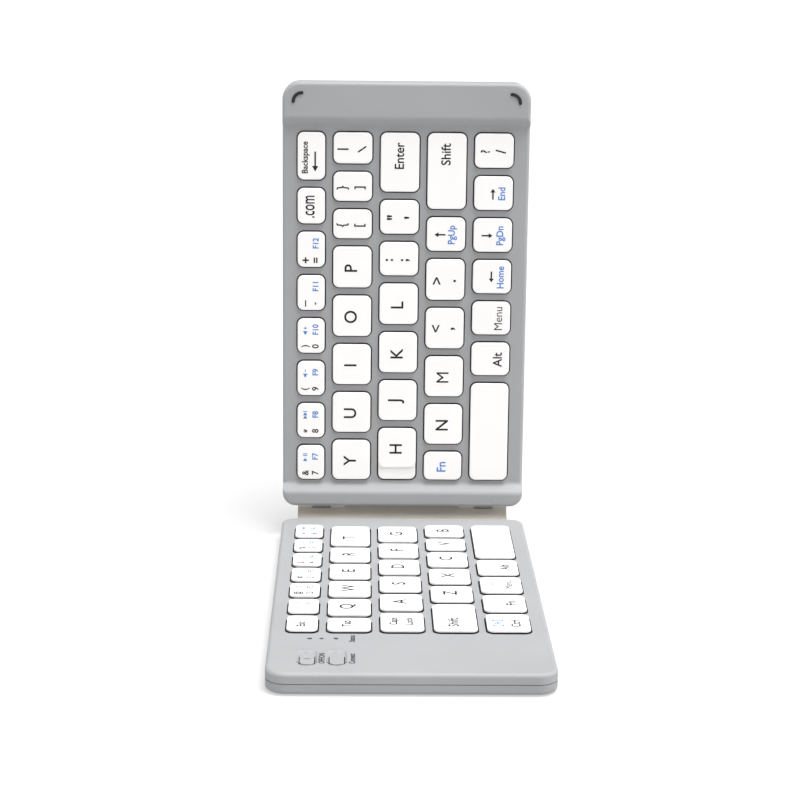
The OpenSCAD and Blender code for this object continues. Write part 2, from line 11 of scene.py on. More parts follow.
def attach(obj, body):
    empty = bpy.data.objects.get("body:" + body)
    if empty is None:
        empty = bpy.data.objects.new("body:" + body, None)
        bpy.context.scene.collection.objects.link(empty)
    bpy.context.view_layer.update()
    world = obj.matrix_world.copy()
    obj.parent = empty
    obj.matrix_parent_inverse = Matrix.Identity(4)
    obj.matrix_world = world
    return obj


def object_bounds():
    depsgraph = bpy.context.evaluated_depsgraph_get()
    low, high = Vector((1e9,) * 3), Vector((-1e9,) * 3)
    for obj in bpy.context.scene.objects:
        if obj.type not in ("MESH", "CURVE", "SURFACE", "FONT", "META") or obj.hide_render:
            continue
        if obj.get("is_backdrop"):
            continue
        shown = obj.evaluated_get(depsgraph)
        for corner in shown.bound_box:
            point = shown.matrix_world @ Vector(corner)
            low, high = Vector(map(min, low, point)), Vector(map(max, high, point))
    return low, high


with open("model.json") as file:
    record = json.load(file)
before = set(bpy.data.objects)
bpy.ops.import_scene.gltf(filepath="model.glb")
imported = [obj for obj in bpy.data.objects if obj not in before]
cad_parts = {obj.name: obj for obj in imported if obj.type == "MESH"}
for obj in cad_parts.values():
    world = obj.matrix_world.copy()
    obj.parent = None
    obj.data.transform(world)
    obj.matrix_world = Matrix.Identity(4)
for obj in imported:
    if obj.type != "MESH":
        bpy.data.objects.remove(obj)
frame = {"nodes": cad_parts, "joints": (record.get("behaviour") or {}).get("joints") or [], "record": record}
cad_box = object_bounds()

bl_info = {
    "name": "Folding Keyboard",
    "version": (1, 0, 0),
    "blender": (4, 5, 0),
    "location": "View3D > Sidebar > Keyboard",
    "description": "Dresses the folding keyboard: materials, key legends, screws and studio",
    "category": "Object",
}

MM = 0.001


def linear(colour):
    """sRGB hex value to linear red, green, blue."""
    values = [int(colour[i:i + 2], 16) / 255 for i in (1, 3, 5)]
    return tuple(v / 12.92 if v <= 0.04045 else ((v + 0.055) / 1.055) ** 2.4 for v in values)


# ---------- sizes, in millimetres, that the deck layout follows ----------

# Outside of a half, and the margin from its back edge to the first row of keys
CASE_DEPTH = 84.0
CASE_T = 6.6
TOP_MARGIN = 5.15
# Caps: letter keys, number row, width of the small keys, gap between caps, rise above the deck
CAP_W = 14.1
CAP_D = 13.1
NUM_W = 12.1
NUM_D = 9.3
SMALL_W = 11.5
CAP_GAP = 2.9
CAP_RISE = 1.1
# Key field of each half along X, and the right half's end beyond its field
START_LEFT = 11.3
START_RIGHT = 9.4
FIELD_LEFT = 103.5
FIELD_RIGHT = 121.1
END_RIGHT = 17.0
HALF_LEN = START_RIGHT + FIELD_RIGHT + END_RIGHT
# Where the control area starts, just past the left half's key field
CONTROL_START = START_LEFT + FIELD_LEFT + 1
# Feet: height, and the place of the ones nearest the hinge
FOOT_H = 0.4
FOOT_NEAR = 12.0
FOOT_Y = CASE_DEPTH / 2 - 11
# Hinge axis: depth below the deck, and distance outside the case
AXIS_DROP = 3.5
AXIS_OUT = 0.2
# Push-buttons and status windows: distance from the outer end, places across the deck
BUTTON_IN = 10.8
BUTTON_Y = (CASE_DEPTH / 2 - 11.9, CASE_DEPTH / 2 - 20.5)
BUTTON_RISE = 0.3
WINDOW_IN = 28.1
WINDOW_Y = (CASE_DEPTH / 2 - 12.2, CASE_DEPTH / 2 - 15.8, CASE_DEPTH / 2 - 20.0)
# Finger dimple round a button: length, width, depth, and its shift along X from the button
DIMPLE_LEN = 13.3
DIMPLE_W = 6.0
DIMPLE_D = 0.4
DIMPLE_SHIFT = -2.2


# ---------- sizes, in millimetres, of details that only the visual model has ----------

# Space between a surface and the print on it
PRINT_LIFT = 0.004
# Control area: height of the words and of the status marks, half width and half length of the
# line on the power button
CONTROL_TEXT = 1.5
STATUS_MARK = 1.7
BUTTON_LINE = (0.14, 0.95)
# Slope in a dimple: length at the sides and at the end, gap to the dimple's wall, depth of its
# upper edge below the deck, and how far its underside lies below the dimple's floor
SLOPE_SIDE = 0.65
SLOPE_END = 3.9
SLOPE_GAP = 0.01
SLOPE_TOP = 0.003
SLOPE_UNDER = 0.05
# Case screws: distance from the hinge end and from the outer end, places across the case,
# height of the head's dome and depth of its cross
SCREW_NEAR = 26.0
SCREW_FAR = 24.0
SCREW_Y = CASE_DEPTH / 2 - 5
SCREW_DOME = 0.22
SCREW_SINK = 0.12
# Painted shade in the gaps round the caps: depth below the deck from which a wall is painted
# near-black, in the key field and in the control area. On the caps it is negative, so the
# painted shade reaches above the deck
CASE_PAINTED_SHADE = (0.01, 0.43)
CAPS_PAINTED_SHADE = (-0.4, -0.4)
# Depth over which the painted shade sets in, and the length over which the control area's takes over
DARK_BLEND = 0.04
DARK_CHANGE = 0.5
# Edges of a case that stay free of it: the long sides, the outer end and the hinge end
DARK_FREE_SIDE = 3.0
DARK_FREE_END = 4.0
DARK_FREE_HINGE = 5.5


# ---------- what is printed on each cap ----------
# A cap is (node, width, legends). A width of 0 takes what is left of the row.
# A legend is (text or symbol name, x, y, height, ink) from the middle of the cap's top,
# where a legend height is that of its capital letters.

def letter(node, char, width=CAP_W, x=-0.3):
    """A key with one large letter."""
    return (node, width, [(char, x, 0.5, 3.8, "dark")])


def number(upper, lower, fn, symbol=None, width=NUM_W, node="right_number_keys"):
    """A key of the number row: two signs on the left, its function in blue on the right."""
    legends = [(upper, -3.7, 1.9, 2.6 if upper in "+_" else 1.95, "dark"),
               (lower, -3.7, -1.5, 2.4 if lower == "=" else 1.95, "dark"),
               (fn, 2.2, -1.5, 1.7, "blue")]
    if symbol:
        legends.append((symbol, 2.1, 2.0, 1.9, "blue"))
    return (node, width, legends)


def double(upper, lower, width=SMALL_W, size=(3.1, 3.1), y=(3.4, -2.5), x=-0.4):
    """A key with two signs, one above the other."""
    return ("right_symbol_keys", width, [(upper, x, y[0], size[0], "dark"),
                                         (lower, x, y[1], size[1], "dark")])


def arrow(symbol, text, y):
    """An arrow key with its second function in blue."""
    return ("arrow_keys", SMALL_W, [(symbol, -0.15, y[0], 2.8, "dark"),
                                    (text, -0.15, y[1], 2.05, "blue")])


def word(node, text, width=0.0, height=2.7, ink="dark", x=0.0, y=0.0):
    """A key with one word."""
    return (node, width, [(text, x, y, height, ink)])


LEFT_ROWS = [
    [number("^", "6", "F6", "previous", NUM_W + 1, "left_number_keys"),
     number("%", "5", "F5", "search", node="left_number_keys"),
     number("$", "4", "F4", "box", node="left_number_keys"),
     number("#", "3", "F3", "lines", node="left_number_keys"),
     number("@", "2", "F2", "ring", node="left_number_keys"),
     number("!", "1", "F1", "bolt", node="left_number_keys"),
     word("left_number_keys", "Esc", 0, 2.2, x=-1.5, y=0.4)],
    [letter("key_t", "T", 22.0, 0.3), letter("key_r", "R", x=0), letter("key_e", "E", x=0),
     letter("key_w", "W", x=0), letter("key_q", "Q", x=0), word("key_tab", "Tab", 0, 2.3, y=0.8)],
    [letter("key_g", "G", 17.4, 0.3), letter("key_f", "F", x=0), letter("key_d", "D", x=0),
     letter("key_s", "S", x=0), letter("key_a", "A", x=0),
     ("key_caps_lock", 0, [("Caps", 0, 2.3, 2.1, "dark"), ("Lock", 0, -2.0, 2.1, "dark")])],
    [letter("key_b", "B", SMALL_W + 0.3, 0), letter("key_v", "V", SMALL_W + 0.3, 0),
     letter("key_c", "C", x=0.3), letter("key_x", "X", x=0.3), letter("key_z", "Z", x=0.3),
     word("key_shift_left", "Shift", 0, 2.8, x=-4.7, y=0.6)],
    [("key_space_left", 34.3, []), word("left_modifier_keys", "Alt", CAP_W + 0.3, x=-0.4, y=-2.2),
     ("left_modifier_keys", CAP_W + 0.3, [("Menu", -0.4, -2.3, 2.3, "dark"),
                                          ("box", 0, 3.4, 2.0, "blue")]),
     word("left_modifier_keys", "Fn", CAP_W + 0.3, x=-0.4, y=-2.0),
     ("left_modifier_keys", 0, [("Ctrl", -1.2, -2.2, 2.5, "dark"), ("Fn", -1.0, 3.1, 1.7, "blue"),
                                ("brackets", -1.0, 3.1, 3.4, "blue")])],
]

RIGHT_ROWS = [
    [number("&", "7", "F7", "play"), number("*", "8", "F8", "next"),
     number("(", "9", "F9", "quieter"), number(")", "0", "F10", "louder"),
     number("_", "-", "F11"), number("+", "=", "F12"),
     word("right_number_keys", ".com", NUM_W, 4.0, x=-0.3, y=0.4),
     ("key_backspace", 0, [("Backspace", -0.5, 1.9, 1.75, "dark"),
                           ("arrow_back", -1.9, -1.3, 5.5, "dark")])],
    [letter("key_y", "Y"), letter("key_u", "U"), letter("key_i", "I"), letter("key_o", "O"),
     letter("key_p", "P"), double("{", "[", SMALL_W - 1.6, (2.75, 2.6)),
     double("}", "]", SMALL_W - 1.6, (2.75, 2.6)),
     double("|", "slant", 0, (2.4, 2.8), (3.4, -3.1))],
    [letter("key_h", "H", 18.4), letter("key_j", "J"), letter("key_k", "K"),
     letter("key_l", "L"), double(":", ";", y=(3.3, -2.2)),
     double("\"", "'", size=(3.6, 3.6), x=-0.2),
     word("key_enter", "Enter", 0, 2.75, x=2.3, y=0.2)],
    [word("right_modifier_keys", "Fn", SMALL_W - 1.5, 2.7, "blue", -0.3, 0.5), letter("key_n", "N"),
     letter("key_m", "M"), double("<", ",", CAP_W, (3.4, 3.4), (3.1, -2.9), -0.1),
     double(">", ".", CAP_W, (3.4, 3.4), (3.0, -3.2)),
     arrow("arrow_up", "PgUp", (2.2, -2.2)),
     word("key_shift_right", "Shift", 0, 2.8, x=5.8, y=0.4)],
    [("key_space_right", 34.6, []), word("right_modifier_keys", "Alt", SMALL_W, x=-0.2, y=-2.45),
     word("right_modifier_keys", "Menu", SMALL_W, 2.5, x=-0.1, y=-2.45),
     arrow("arrow_left", "Home", (0.2, -2.9)), arrow("arrow_down", "PgDn", (1.8, -2.8)),
     arrow("arrow_right", "End", (0.2, -2.8)), double("?", "/", 0, (2.7, 2.9), (3.1, -2.2), -0.25)],
]

# Length of the lower ledge on the caps beside the hinge
LEDGES = {"key_t": 22.0 - CAP_W, "key_g": 17.4 - CAP_W, "key_h": 18.4 - CAP_W}


# ---------- settings shown in the sidebar ----------

class KeyboardColours(PropertyGroup):
    """Colours of the keyboard's finishes."""
    case: FloatVectorProperty(
        name="Case", description="Moulded ABS of the two halves", subtype="COLOR",
        default=linear("#939496"))
    caps: FloatVectorProperty(
        name="Key caps", description="White ABS of the key caps", subtype="COLOR",
        default=linear("#e6e4e3"))
    spine: FloatVectorProperty(
        name="Spine", description="Warm grey nylon of the hinge spine", subtype="COLOR",
        default=linear("#c6c0b5"))
    ink: FloatVectorProperty(
        name="Legend ink", description="Dark ink of the main legends", subtype="COLOR",
        default=linear("#1c1e21"))
    second_ink: FloatVectorProperty(
        name="Second ink", description="Blue ink of the second legends", subtype="COLOR",
        default=linear("#4272b2"))
    # Painted shade: this near-black colour is painted on the caps' lower walls and the walls of their
    # openings, standing in for the shade that falls in the narrow gaps round the caps
    shade: FloatVectorProperty(
        name="Painted gap shade", description="Near-black painted shade on the caps' lower walls and the walls of their openings",
        subtype="COLOR", default=linear("#08090a"))
    rubber: FloatVectorProperty(
        name="Bumpers", description="Black rubber of the corner bumpers", subtype="COLOR",
        default=linear("#141517"))


class KeyboardSizes(PropertyGroup):
    """Sizes of the printed and fastened details."""
    ink_film: FloatProperty(
        name="Ink film", description="Thickness of the printed legends", default=0.02 * MM,
        unit="LENGTH", precision=6)
    screw_head: FloatProperty(
        name="Screw head", description="Diameter of a case screw's head", default=2.6 * MM,
        unit="LENGTH", precision=5)
    moulding_grain: FloatProperty(
        name="Moulding grain", description="Grain of the satin mould texture",
        default=0.35 * MM, unit="LENGTH", precision=5)
    legend_scale: FloatProperty(
        name="Legend scale", description="Size of all legends against their drawn size",
        default=1.0, min=0.5, max=1.5)


# ---------- placing ----------

joints = {j["name"]: j for j in frame["joints"]}

# Turns X round. The left half's deck runs backwards along X, so its print is turned twice
MIRROR = Matrix.Scale(-1, 4, Vector((1, 0, 0)))


def fold_angle():
    """Angle that the right half is folded up from flat, from its keys' travel axis."""
    axis = joints["key_y_travel"]["axis"]
    return math.atan2(axis[0], -axis[2])


def left_place():
    """Deck coordinates of the left half (x away from the hinge) to the row frame."""
    return Matrix.Translation((FOOT_NEAR * MM, -FOOT_Y * MM, (FOOT_H + CASE_T) * MM)) @ MIRROR


def right_place():
    """Deck coordinates of the right half to the row frame."""
    axis = Vector(joints["right_hinge"]["pos_m"])
    return (Matrix.Translation(axis) @ Matrix.Rotation(-fold_angle(), 4, "Y")
            @ Matrix.Translation((AXIS_OUT * MM, 0, AXIS_DROP * MM)))


def cap_places(rows, start, field):
    """Yields (node, legends, x, y) in deck millimetres for every cap."""
    top = CASE_DEPTH / 2 - TOP_MARGIN
    for i, row in enumerate(rows):
        depth = NUM_D if i == 0 else CAP_D
        x = start
        for node, width, legends in row:
            width = width or start + field - x
            ledge = LEDGES.get(node, 0)
            yield node, legends, x + ledge + (width - ledge) / 2, top - depth / 2
            x += width + CAP_GAP
        top -= depth + CAP_GAP


# ---------- nodes ----------

# Values between which most of a noise lies
NOISE_LOW = 0.3
NOISE_HIGH = 0.7
# Sockets of a Mix node that belong to colours: factor, first and second colour, result
MIX_INPUTS = (0, 6, 7)
MIX_RESULT = 2


def feed(tree, socket, value):
    """Links a source to a socket, or sets the socket to a plain value."""
    if isinstance(value, bpy.types.NodeSocket):
        tree.links.new(value, socket)
    else:
        socket.default_value = value


def fill_node(tree, node, values):
    """Sets a node's sockets and properties by name."""
    for key, value in values.items():
        if key in node.inputs:
            feed(tree, node.inputs[key], value)
        else:
            setattr(node, key, value)
    return node


def add_node(tree, kind, values=None):
    """Adds a node and sets its sockets and properties by name."""
    return fill_node(tree, tree.nodes.new(kind), values or {})


def calculate(tree, operation, *values):
    """Result of a Math node on sockets or plain numbers."""
    node = add_node(tree, "ShaderNodeMath", {"operation": operation})
    for socket, value in zip(node.inputs, values):
        feed(tree, socket, value)
    return node.outputs["Value"]


def map_range(tree, value, start, end, low, high):
    """Number that runs from low to high while the value runs from start to end."""
    return add_node(tree, "ShaderNodeMapRange", {
        "Value": value, "From Min": start, "From Max": end, "To Min": low,
        "To Max": high}).outputs["Result"]


def colour_ramp(tree, value, low, high, start=0.0, end=1.0):
    """Colour that runs from low to high while the value runs from start to end."""
    ramp = add_node(tree, "ShaderNodeValToRGB", {"Fac": value})
    for element, position, colour in zip(ramp.color_ramp.elements, (start, end), (low, high)):
        element.position = position
        element.color = (*colour, 1)
    return ramp.outputs["Color"]


def mix_colours(tree, factor, first, second, blend="MIX"):
    """Mix of two colours, each a socket or a plain colour with alpha."""
    mix = add_node(tree, "ShaderNodeMix", {"data_type": "RGBA", "blend_type": blend})
    for index, value in zip(MIX_INPUTS, (factor, first, second)):
        feed(tree, mix.inputs[index], value)
    return mix.outputs[MIX_RESULT]


def noise(tree, place, size, detail=2.0, roughness=0.5):
    """Noise with grains of the given size."""
    return add_node(tree, "ShaderNodeTexNoise", {
        "Vector": place, "Scale": 1 / size, "Detail": detail,
        "Roughness": roughness}).outputs["Fac"]


def relief_of(tree, height, strength, distance):
    """Normal of a surface whose fine relief follows the height."""
    return add_node(tree, "ShaderNodeBump", {
        "Height": height, "Strength": strength, "Distance": distance}).outputs["Normal"]


# ---------- materials ----------

# Brightness of the lower case against the upper one
LOWER_CASE_SHADE = 0.94


def toned(colour, factor, lift=0.0):
    """The colour made darker or lighter."""
    return tuple(min(1, c * factor + lift) for c in colour)


def new_material(name):
    """A node material: (material, tree, shader, the piece's own coordinates)."""
    material = bpy.data.materials.new(name)
    material.use_nodes = True
    tree = material.node_tree
    tree.nodes.clear()
    shader = add_node(tree, "ShaderNodeBsdfPrincipled")
    add_node(tree, "ShaderNodeOutputMaterial", {"Surface": shader.outputs["BSDF"]})
    return material, tree, shader, add_node(tree, "ShaderNodeTexCoord").outputs["Object"]


def painted_gap_shade_mask(tree, place, side, field_drop, control_drop):
    """Mask of painted shade: 1 on walls deeper below a half's key deck than the given drops (mm),
    away from the case's own outside, where shade falls in the gaps round the caps. The control
    area has its own drop, for its finger dimples."""
    if side == "left":
        way = {"Location": left_place().translation, "Scale": (-1, 1, 1)}
    else:
        way = {"Location": right_place().translation, "Rotation": (0, -fold_angle(), 0)}
    deck = add_node(tree, "ShaderNodeMapping", {"vector_type": "TEXTURE", "Vector": place, **way})
    parts = add_node(tree, "ShaderNodeSeparateXYZ", {"Vector": deck.outputs["Vector"]}).outputs
    start = CONTROL_START * MM
    drop = map_range(tree, parts["X"], start, start + DARK_CHANGE * MM, field_drop * MM,
                     control_drop * MM)
    depth = calculate(tree, "ADD", parts["Z"], drop)
    mask = map_range(tree, depth, 0.0, -DARK_BLEND * MM, 0.0, 1.0)
    off_middle = calculate(tree, "ABSOLUTE", parts["Y"])
    for inside in (
            calculate(tree, "LESS_THAN", off_middle, (CASE_DEPTH / 2 - DARK_FREE_SIDE) * MM),
            calculate(tree, "LESS_THAN", parts["X"], (HALF_LEN - DARK_FREE_END) * MM),
            calculate(tree, "GREATER_THAN", parts["X"], DARK_FREE_HINGE * MM)):
        mask = calculate(tree, "MULTIPLY", mask, inside)
    return mask


def moulded_plastic(name, colour, grain, roughness, relief, mottle=0.03, ior=1.53, dark=None):
    """Injection-moulded plastic from a spark-eroded mould: an even satin surface whose fine
    pits break up the highlight, with slow, very faint changes of shade from the mould's flow.
    dark is (colour, side, field drop, control drop) of painted shade: walls below the deck are
    painted near-black as the shade in the gaps, which draws a crisp line round every cap."""
    material, tree, shader, place = new_material(name)
    flow = noise(tree, place, 28 * MM, detail=3.0)
    pits = noise(tree, place, grain, roughness=0.55)
    shade = map_range(tree, flow, NOISE_LOW, NOISE_HIGH, 1 - mottle, 1 + mottle)
    surface = mix_colours(tree, 1.0, (*colour, 1), shade, "MULTIPLY")
    # Painted shade: walls below the deck take the near-black shade colour, standing in for the shade in the
    # gaps round the caps
    if dark:
        surface = mix_colours(tree, painted_gap_shade_mask(tree, place, *dark[1:]), surface, (*dark[0], 1))
    fill_node(tree, shader, {
        "Base Color": surface,
        "Roughness": map_range(tree, pits, NOISE_LOW, NOISE_HIGH,
                               roughness - 0.04, roughness + 0.05),
        "Normal": relief_of(tree, pits, relief, 0.02 * MM),
        "IOR": ior})
    return material


def printed_ink(name, colour):
    """Pad-printed ink: a thin flat film, slightly duller than the cap under it, with a faint
    unevenness where the film is thinner."""
    material, tree, shader, place = new_material(name)
    film = noise(tree, place, 0.5 * MM)
    fill_node(tree, shader, {
        "Base Color": colour_ramp(tree, film, colour, toned(colour, 1.25, 0.01), 0.3, 0.8),
        "Roughness": 0.75,
        "Specular IOR Level": 0.2})
    return material


def moulded_rubber(name, colour, roughness=0.75):
    """Compression-moulded silicone rubber: dull and soft-looking, with dust in its fine pores."""
    material, tree, shader, place = new_material(name)
    pores = noise(tree, place, 0.3 * MM, detail=4.0)
    fill_node(tree, shader, {
        "Base Color": colour_ramp(tree, pores, colour, toned(colour, 1.3, 0.012), 0.35, 0.85),
        "Normal": relief_of(tree, pores, 0.25, 0.03 * MM),
        "Roughness": roughness,
        "IOR": 1.42})
    return material


def worked_metal(name, colour, roughness, grain, axis=(1, 12, 12)):
    """Rolled, ground or stamped metal: fine strokes along one way that stretch the highlight."""
    material, tree, shader, place = new_material(name)
    along = add_node(tree, "ShaderNodeMapping", {"Vector": place, "Scale": axis}).outputs["Vector"]
    strokes = noise(tree, along, grain, detail=3.0)
    fill_node(tree, shader, {
        "Roughness": map_range(tree, strokes, NOISE_LOW, NOISE_HIGH,
                               roughness - 0.08, roughness + 0.1),
        "Base Color": colour_ramp(tree, strokes, toned(colour, 0.9), toned(colour, 1.08)),
        "Metallic": 1.0})
    return material


def clear_window(name):
    """Polycarbonate light guide: polished smoked plastic, dark while the light behind is off."""
    material, tree, shader, place = new_material(name)
    haze = noise(tree, place, 0.4 * MM)
    fill_node(tree, shader, {
        "Base Color": colour_ramp(tree, haze, linear("#3c3f42"), linear("#56595c")),
        "Roughness": 0.18,
        "IOR": 1.58})
    return material


def board_laminate(name):
    """Glass-fibre laminate under green solder mask, with the weave just showing."""
    material, tree, shader, place = new_material(name)
    weave = add_node(tree, "ShaderNodeTexWave", {
        "Vector": place, "Scale": 1 / (3.5 * MM), "Distortion": 1.5}).outputs["Fac"]
    fill_node(tree, shader, {
        "Base Color": colour_ramp(tree, weave, linear("#1a4a30"), linear("#24603f")),
        "Roughness": 0.35})
    return material


def studio_paper(name):
    """Matt pale backdrop paper with a very faint tooth, lit from below as well so that shadows
    stay faint."""
    material, tree, shader, place = new_material(name)
    tooth = noise(tree, place, 2.0 * MM, detail=3.0)
    fill_node(tree, shader, {
        "Base Color": colour_ramp(tree, tooth, linear("#8a8a8a"), linear("#8e8e8e")),
        "Roughness": 0.9,
        "Emission Color": (1, 1, 1, 1),
        "Emission Strength": FLOOR_GLOW})
    return material


# ---------- mesh helpers ----------

# Lettering: height of a capital against the font's size, and width against the font's own
CAPITAL_SHARE = 0.62
USUAL_NARROWING = 0.94
LETTER_NARROWING = {".com": 0.62}
# Growth of the strokes against the lettering's height: for most texts, for small marks and for
# texts that have their own. M takes none, because its sharp inner corners would turn inside out.
# Most texts grow by at least LEAST_GROWTH millimetres
USUAL_GROWTH = 0.018
MARK_GROWTH = 0.04
MARKS = ":;\"',.|/+=-_"
STROKE_GROWTH = {"M": 0.0, "Menu": 0.0, "|": 0.06}
LEAST_GROWTH = 0.07


def dress(nodes, material):
    """Gives CAD nodes a material."""
    for name in nodes:
        mesh = frame["nodes"][name].data
        mesh.materials.clear()
        mesh.materials.append(material)


def add_object(name, bm, materials, body):
    """Turns a bmesh in the row frame into a piece that rides on a body."""
    mesh = bpy.data.meshes.new(name)
    bmesh.ops.recalc_face_normals(bm, faces=bm.faces)
    bm.to_mesh(mesh)
    bm.free()
    for material in materials:
        mesh.materials.append(material)
    piece = bpy.data.objects.new(name, mesh)
    bpy.context.scene.collection.objects.link(piece)
    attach(piece, body)
    return piece


def add_prism(bm, outline, thickness, matrix, material_index=0):
    """A flat plate of the given outline (x, y), from z = 0 up to its thickness."""
    low = [bm.verts.new(matrix @ Vector((x, y, 0))) for x, y in outline]
    high = [bm.verts.new(matrix @ Vector((x, y, thickness))) for x, y in outline]
    count = len(outline)
    faces = [bm.faces.new(high), bm.faces.new(low[::-1])]
    for i in range(count):
        j = (i + 1) % count
        faces.append(bm.faces.new((low[i], low[j], high[j], high[i])))
    for face in faces:
        face.material_index = material_index


def add_text(bm, text, height, thickness, matrix, material_index=0):
    """Lettering as a closed film, centred, its capitals as high as height."""
    curve = bpy.data.curves.new("lettering", "FONT")
    curve.body = text
    curve.size = height / CAPITAL_SHARE
    curve.resolution_u = 4
    growth = MARK_GROWTH if text in MARKS else max(USUAL_GROWTH, LEAST_GROWTH * MM / height)
    curve.offset = height * STROKE_GROWTH.get(text, growth)
    curve.extrude = thickness / 2
    carrier = bpy.data.objects.new("lettering", curve)
    mesh = bpy.data.meshes.new_from_object(carrier)
    middle = [(max(v.co[i] for v in mesh.vertices) + min(v.co[i] for v in mesh.vertices)) / 2
              for i in (0, 1)]
    mesh.transform(Matrix.Translation((-middle[0], -middle[1], thickness / 2)))
    narrowing = LETTER_NARROWING.get(text, USUAL_NARROWING)
    mesh.transform(matrix @ Matrix.Diagonal((narrowing, 1, 1, 1)))
    for polygon in mesh.polygons:
        polygon.material_index = material_index
    bm.from_mesh(mesh)
    bpy.data.objects.remove(carrier)
    bpy.data.curves.remove(curve)
    bpy.data.meshes.remove(mesh)


def bar(x0, y0, x1, y1):
    """Upright rectangle as an outline."""
    return [(x0, y0), (x1, y0), (x1, y1), (x0, y1)]


def stroke(a, b, width):
    """Straight stroke of even width from a to b, as an outline."""
    run = Vector(b) - Vector(a)
    side = Vector((-run.y, run.x)).normalized() * width / 2
    return [tuple(Vector(a) + side), tuple(Vector(a) - side),
            tuple(Vector(b) - side), tuple(Vector(b) + side)]


def ring(x, y, outer, inner, steps=24):
    """Ring cut into wedge outlines, so that each is a simple shape."""
    outlines = []
    for i in range(steps):
        a, b = (2 * math.pi * k / steps for k in (i, i + 1))
        outlines.append([(x + outer * math.cos(a), y + outer * math.sin(a)),
                         (x + outer * math.cos(b), y + outer * math.sin(b)),
                         (x + inner * math.cos(b), y + inner * math.sin(b)),
                         (x + inner * math.cos(a), y + inner * math.sin(a))])
    return outlines


def turned(outlines, quarter):
    """Outlines turned by quarter turns."""
    a = quarter * math.pi / 2
    c, s = round(math.cos(a)), round(math.sin(a))
    return [[(c * x - s * y, s * x + c * y) for x, y in outline] for outline in outlines]


def symbol_outlines(name):
    """Printed symbols in a box one unit high, centred."""
    left_arrow = [stroke((-0.2, 0), (0.72, 0), 0.19), [(-0.62, 0), (-0.15, 0.31), (-0.15, -0.31)]]
    triangle = [(-0.4, 0.42), (-0.4, -0.42), (0.2, 0)]
    speaker = [bar(-0.85, -0.18, -0.6, 0.18), [(-0.6, -0.18), (-0.25, -0.45), (-0.25, 0.45),
                                               (-0.6, 0.18)]]
    if name == "arrow_back":
        return [stroke((-0.3, 0), (0.62, 0), 0.1), [(-0.62, 0), (-0.27, 0.19), (-0.27, -0.19)]]
    if name.startswith("arrow_"):
        way = name.removeprefix("arrow_")
        return turned(left_arrow, ("left", "down", "right", "up").index(way))
    return {
        "play": [[(x - 0.45, y) for x, y in triangle], bar(0.1, -0.4, 0.26, 0.4),
                 bar(0.42, -0.4, 0.58, 0.4)],
        "next": [[(x - 0.35, y) for x, y in triangle], [(x + 0.25, y) for x, y in triangle],
                 bar(0.5, -0.4, 0.64, 0.4)],
        "previous": [[(0.35 - x, y) for x, y in triangle][::-1],
                     [(-0.25 - x, y) for x, y in triangle][::-1], bar(-0.64, -0.4, -0.5, 0.4)],
        "quieter": speaker + [bar(0.05, -0.07, 0.55, 0.07)],
        "louder": speaker + [bar(0.05, -0.07, 0.55, 0.07), bar(0.23, -0.3, 0.37, 0.3)],
        "search": ring(-0.1, 0.1, 0.36, 0.25) + [stroke((0.15, -0.15), (0.48, -0.48), 0.14)],
        "lines": [bar(-0.5, 0.26, 0.5, 0.42), bar(-0.5, -0.08, 0.5, 0.08),
                  bar(-0.5, -0.42, 0.5, -0.26)],
        "ring": ring(0, 0, 0.46, 0.3),
        "box": [bar(-0.5, -0.42, 0.5, -0.3), bar(-0.5, 0.3, 0.5, 0.42), bar(-0.5, -0.3, -0.38, 0.3),
                bar(0.38, -0.3, 0.5, 0.3)],
        "slant": [stroke((-0.35, 0.5), (0.35, -0.5), 0.18)],
        "brackets": [bar(-0.78, -0.5, -0.62, 0.5), bar(-0.62, -0.5, -0.4, -0.38),
                     bar(-0.62, 0.38, -0.4, 0.5), bar(0.62, -0.5, 0.78, 0.5),
                     bar(0.4, -0.5, 0.62, -0.38), bar(0.4, 0.38, 0.62, 0.5)],
        "bolt": [[(0.12, 0.5), (-0.3, -0.06), (-0.03, -0.06)],
                 [(-0.12, -0.5), (0.3, 0.06), (0.03, 0.06)]],
        "lock": [bar(-0.32, -0.45, 0.32, 0.05), bar(-0.22, 0.05, -0.12, 0.35),
                 bar(0.12, 0.05, 0.22, 0.35), bar(-0.22, 0.35, 0.22, 0.45)],
        "waves": [bar(-0.4, -0.4, -0.22, -0.1), bar(-0.09, -0.4, 0.09, 0.15),
                  bar(0.22, -0.4, 0.4, 0.42)],
    }.get(name)


def add_legend(bm, legend, matrix, thickness, scale=1.0):
    """Prints one text or symbol at its place. Dark ink is the print's first material."""
    what, x, y, height, ink = legend
    material_index = 0 if ink == "dark" else 1
    spot = matrix @ Matrix.Translation((x * MM, y * MM, 0))
    outlines = symbol_outlines(what)
    size = height * scale * MM
    if outlines:
        for outline in outlines:
            add_prism(bm, [(px * size, py * size) for px, py in outline], thickness, spot,
                      material_index)
    else:
        add_text(bm, what, size, thickness, spot, material_index)


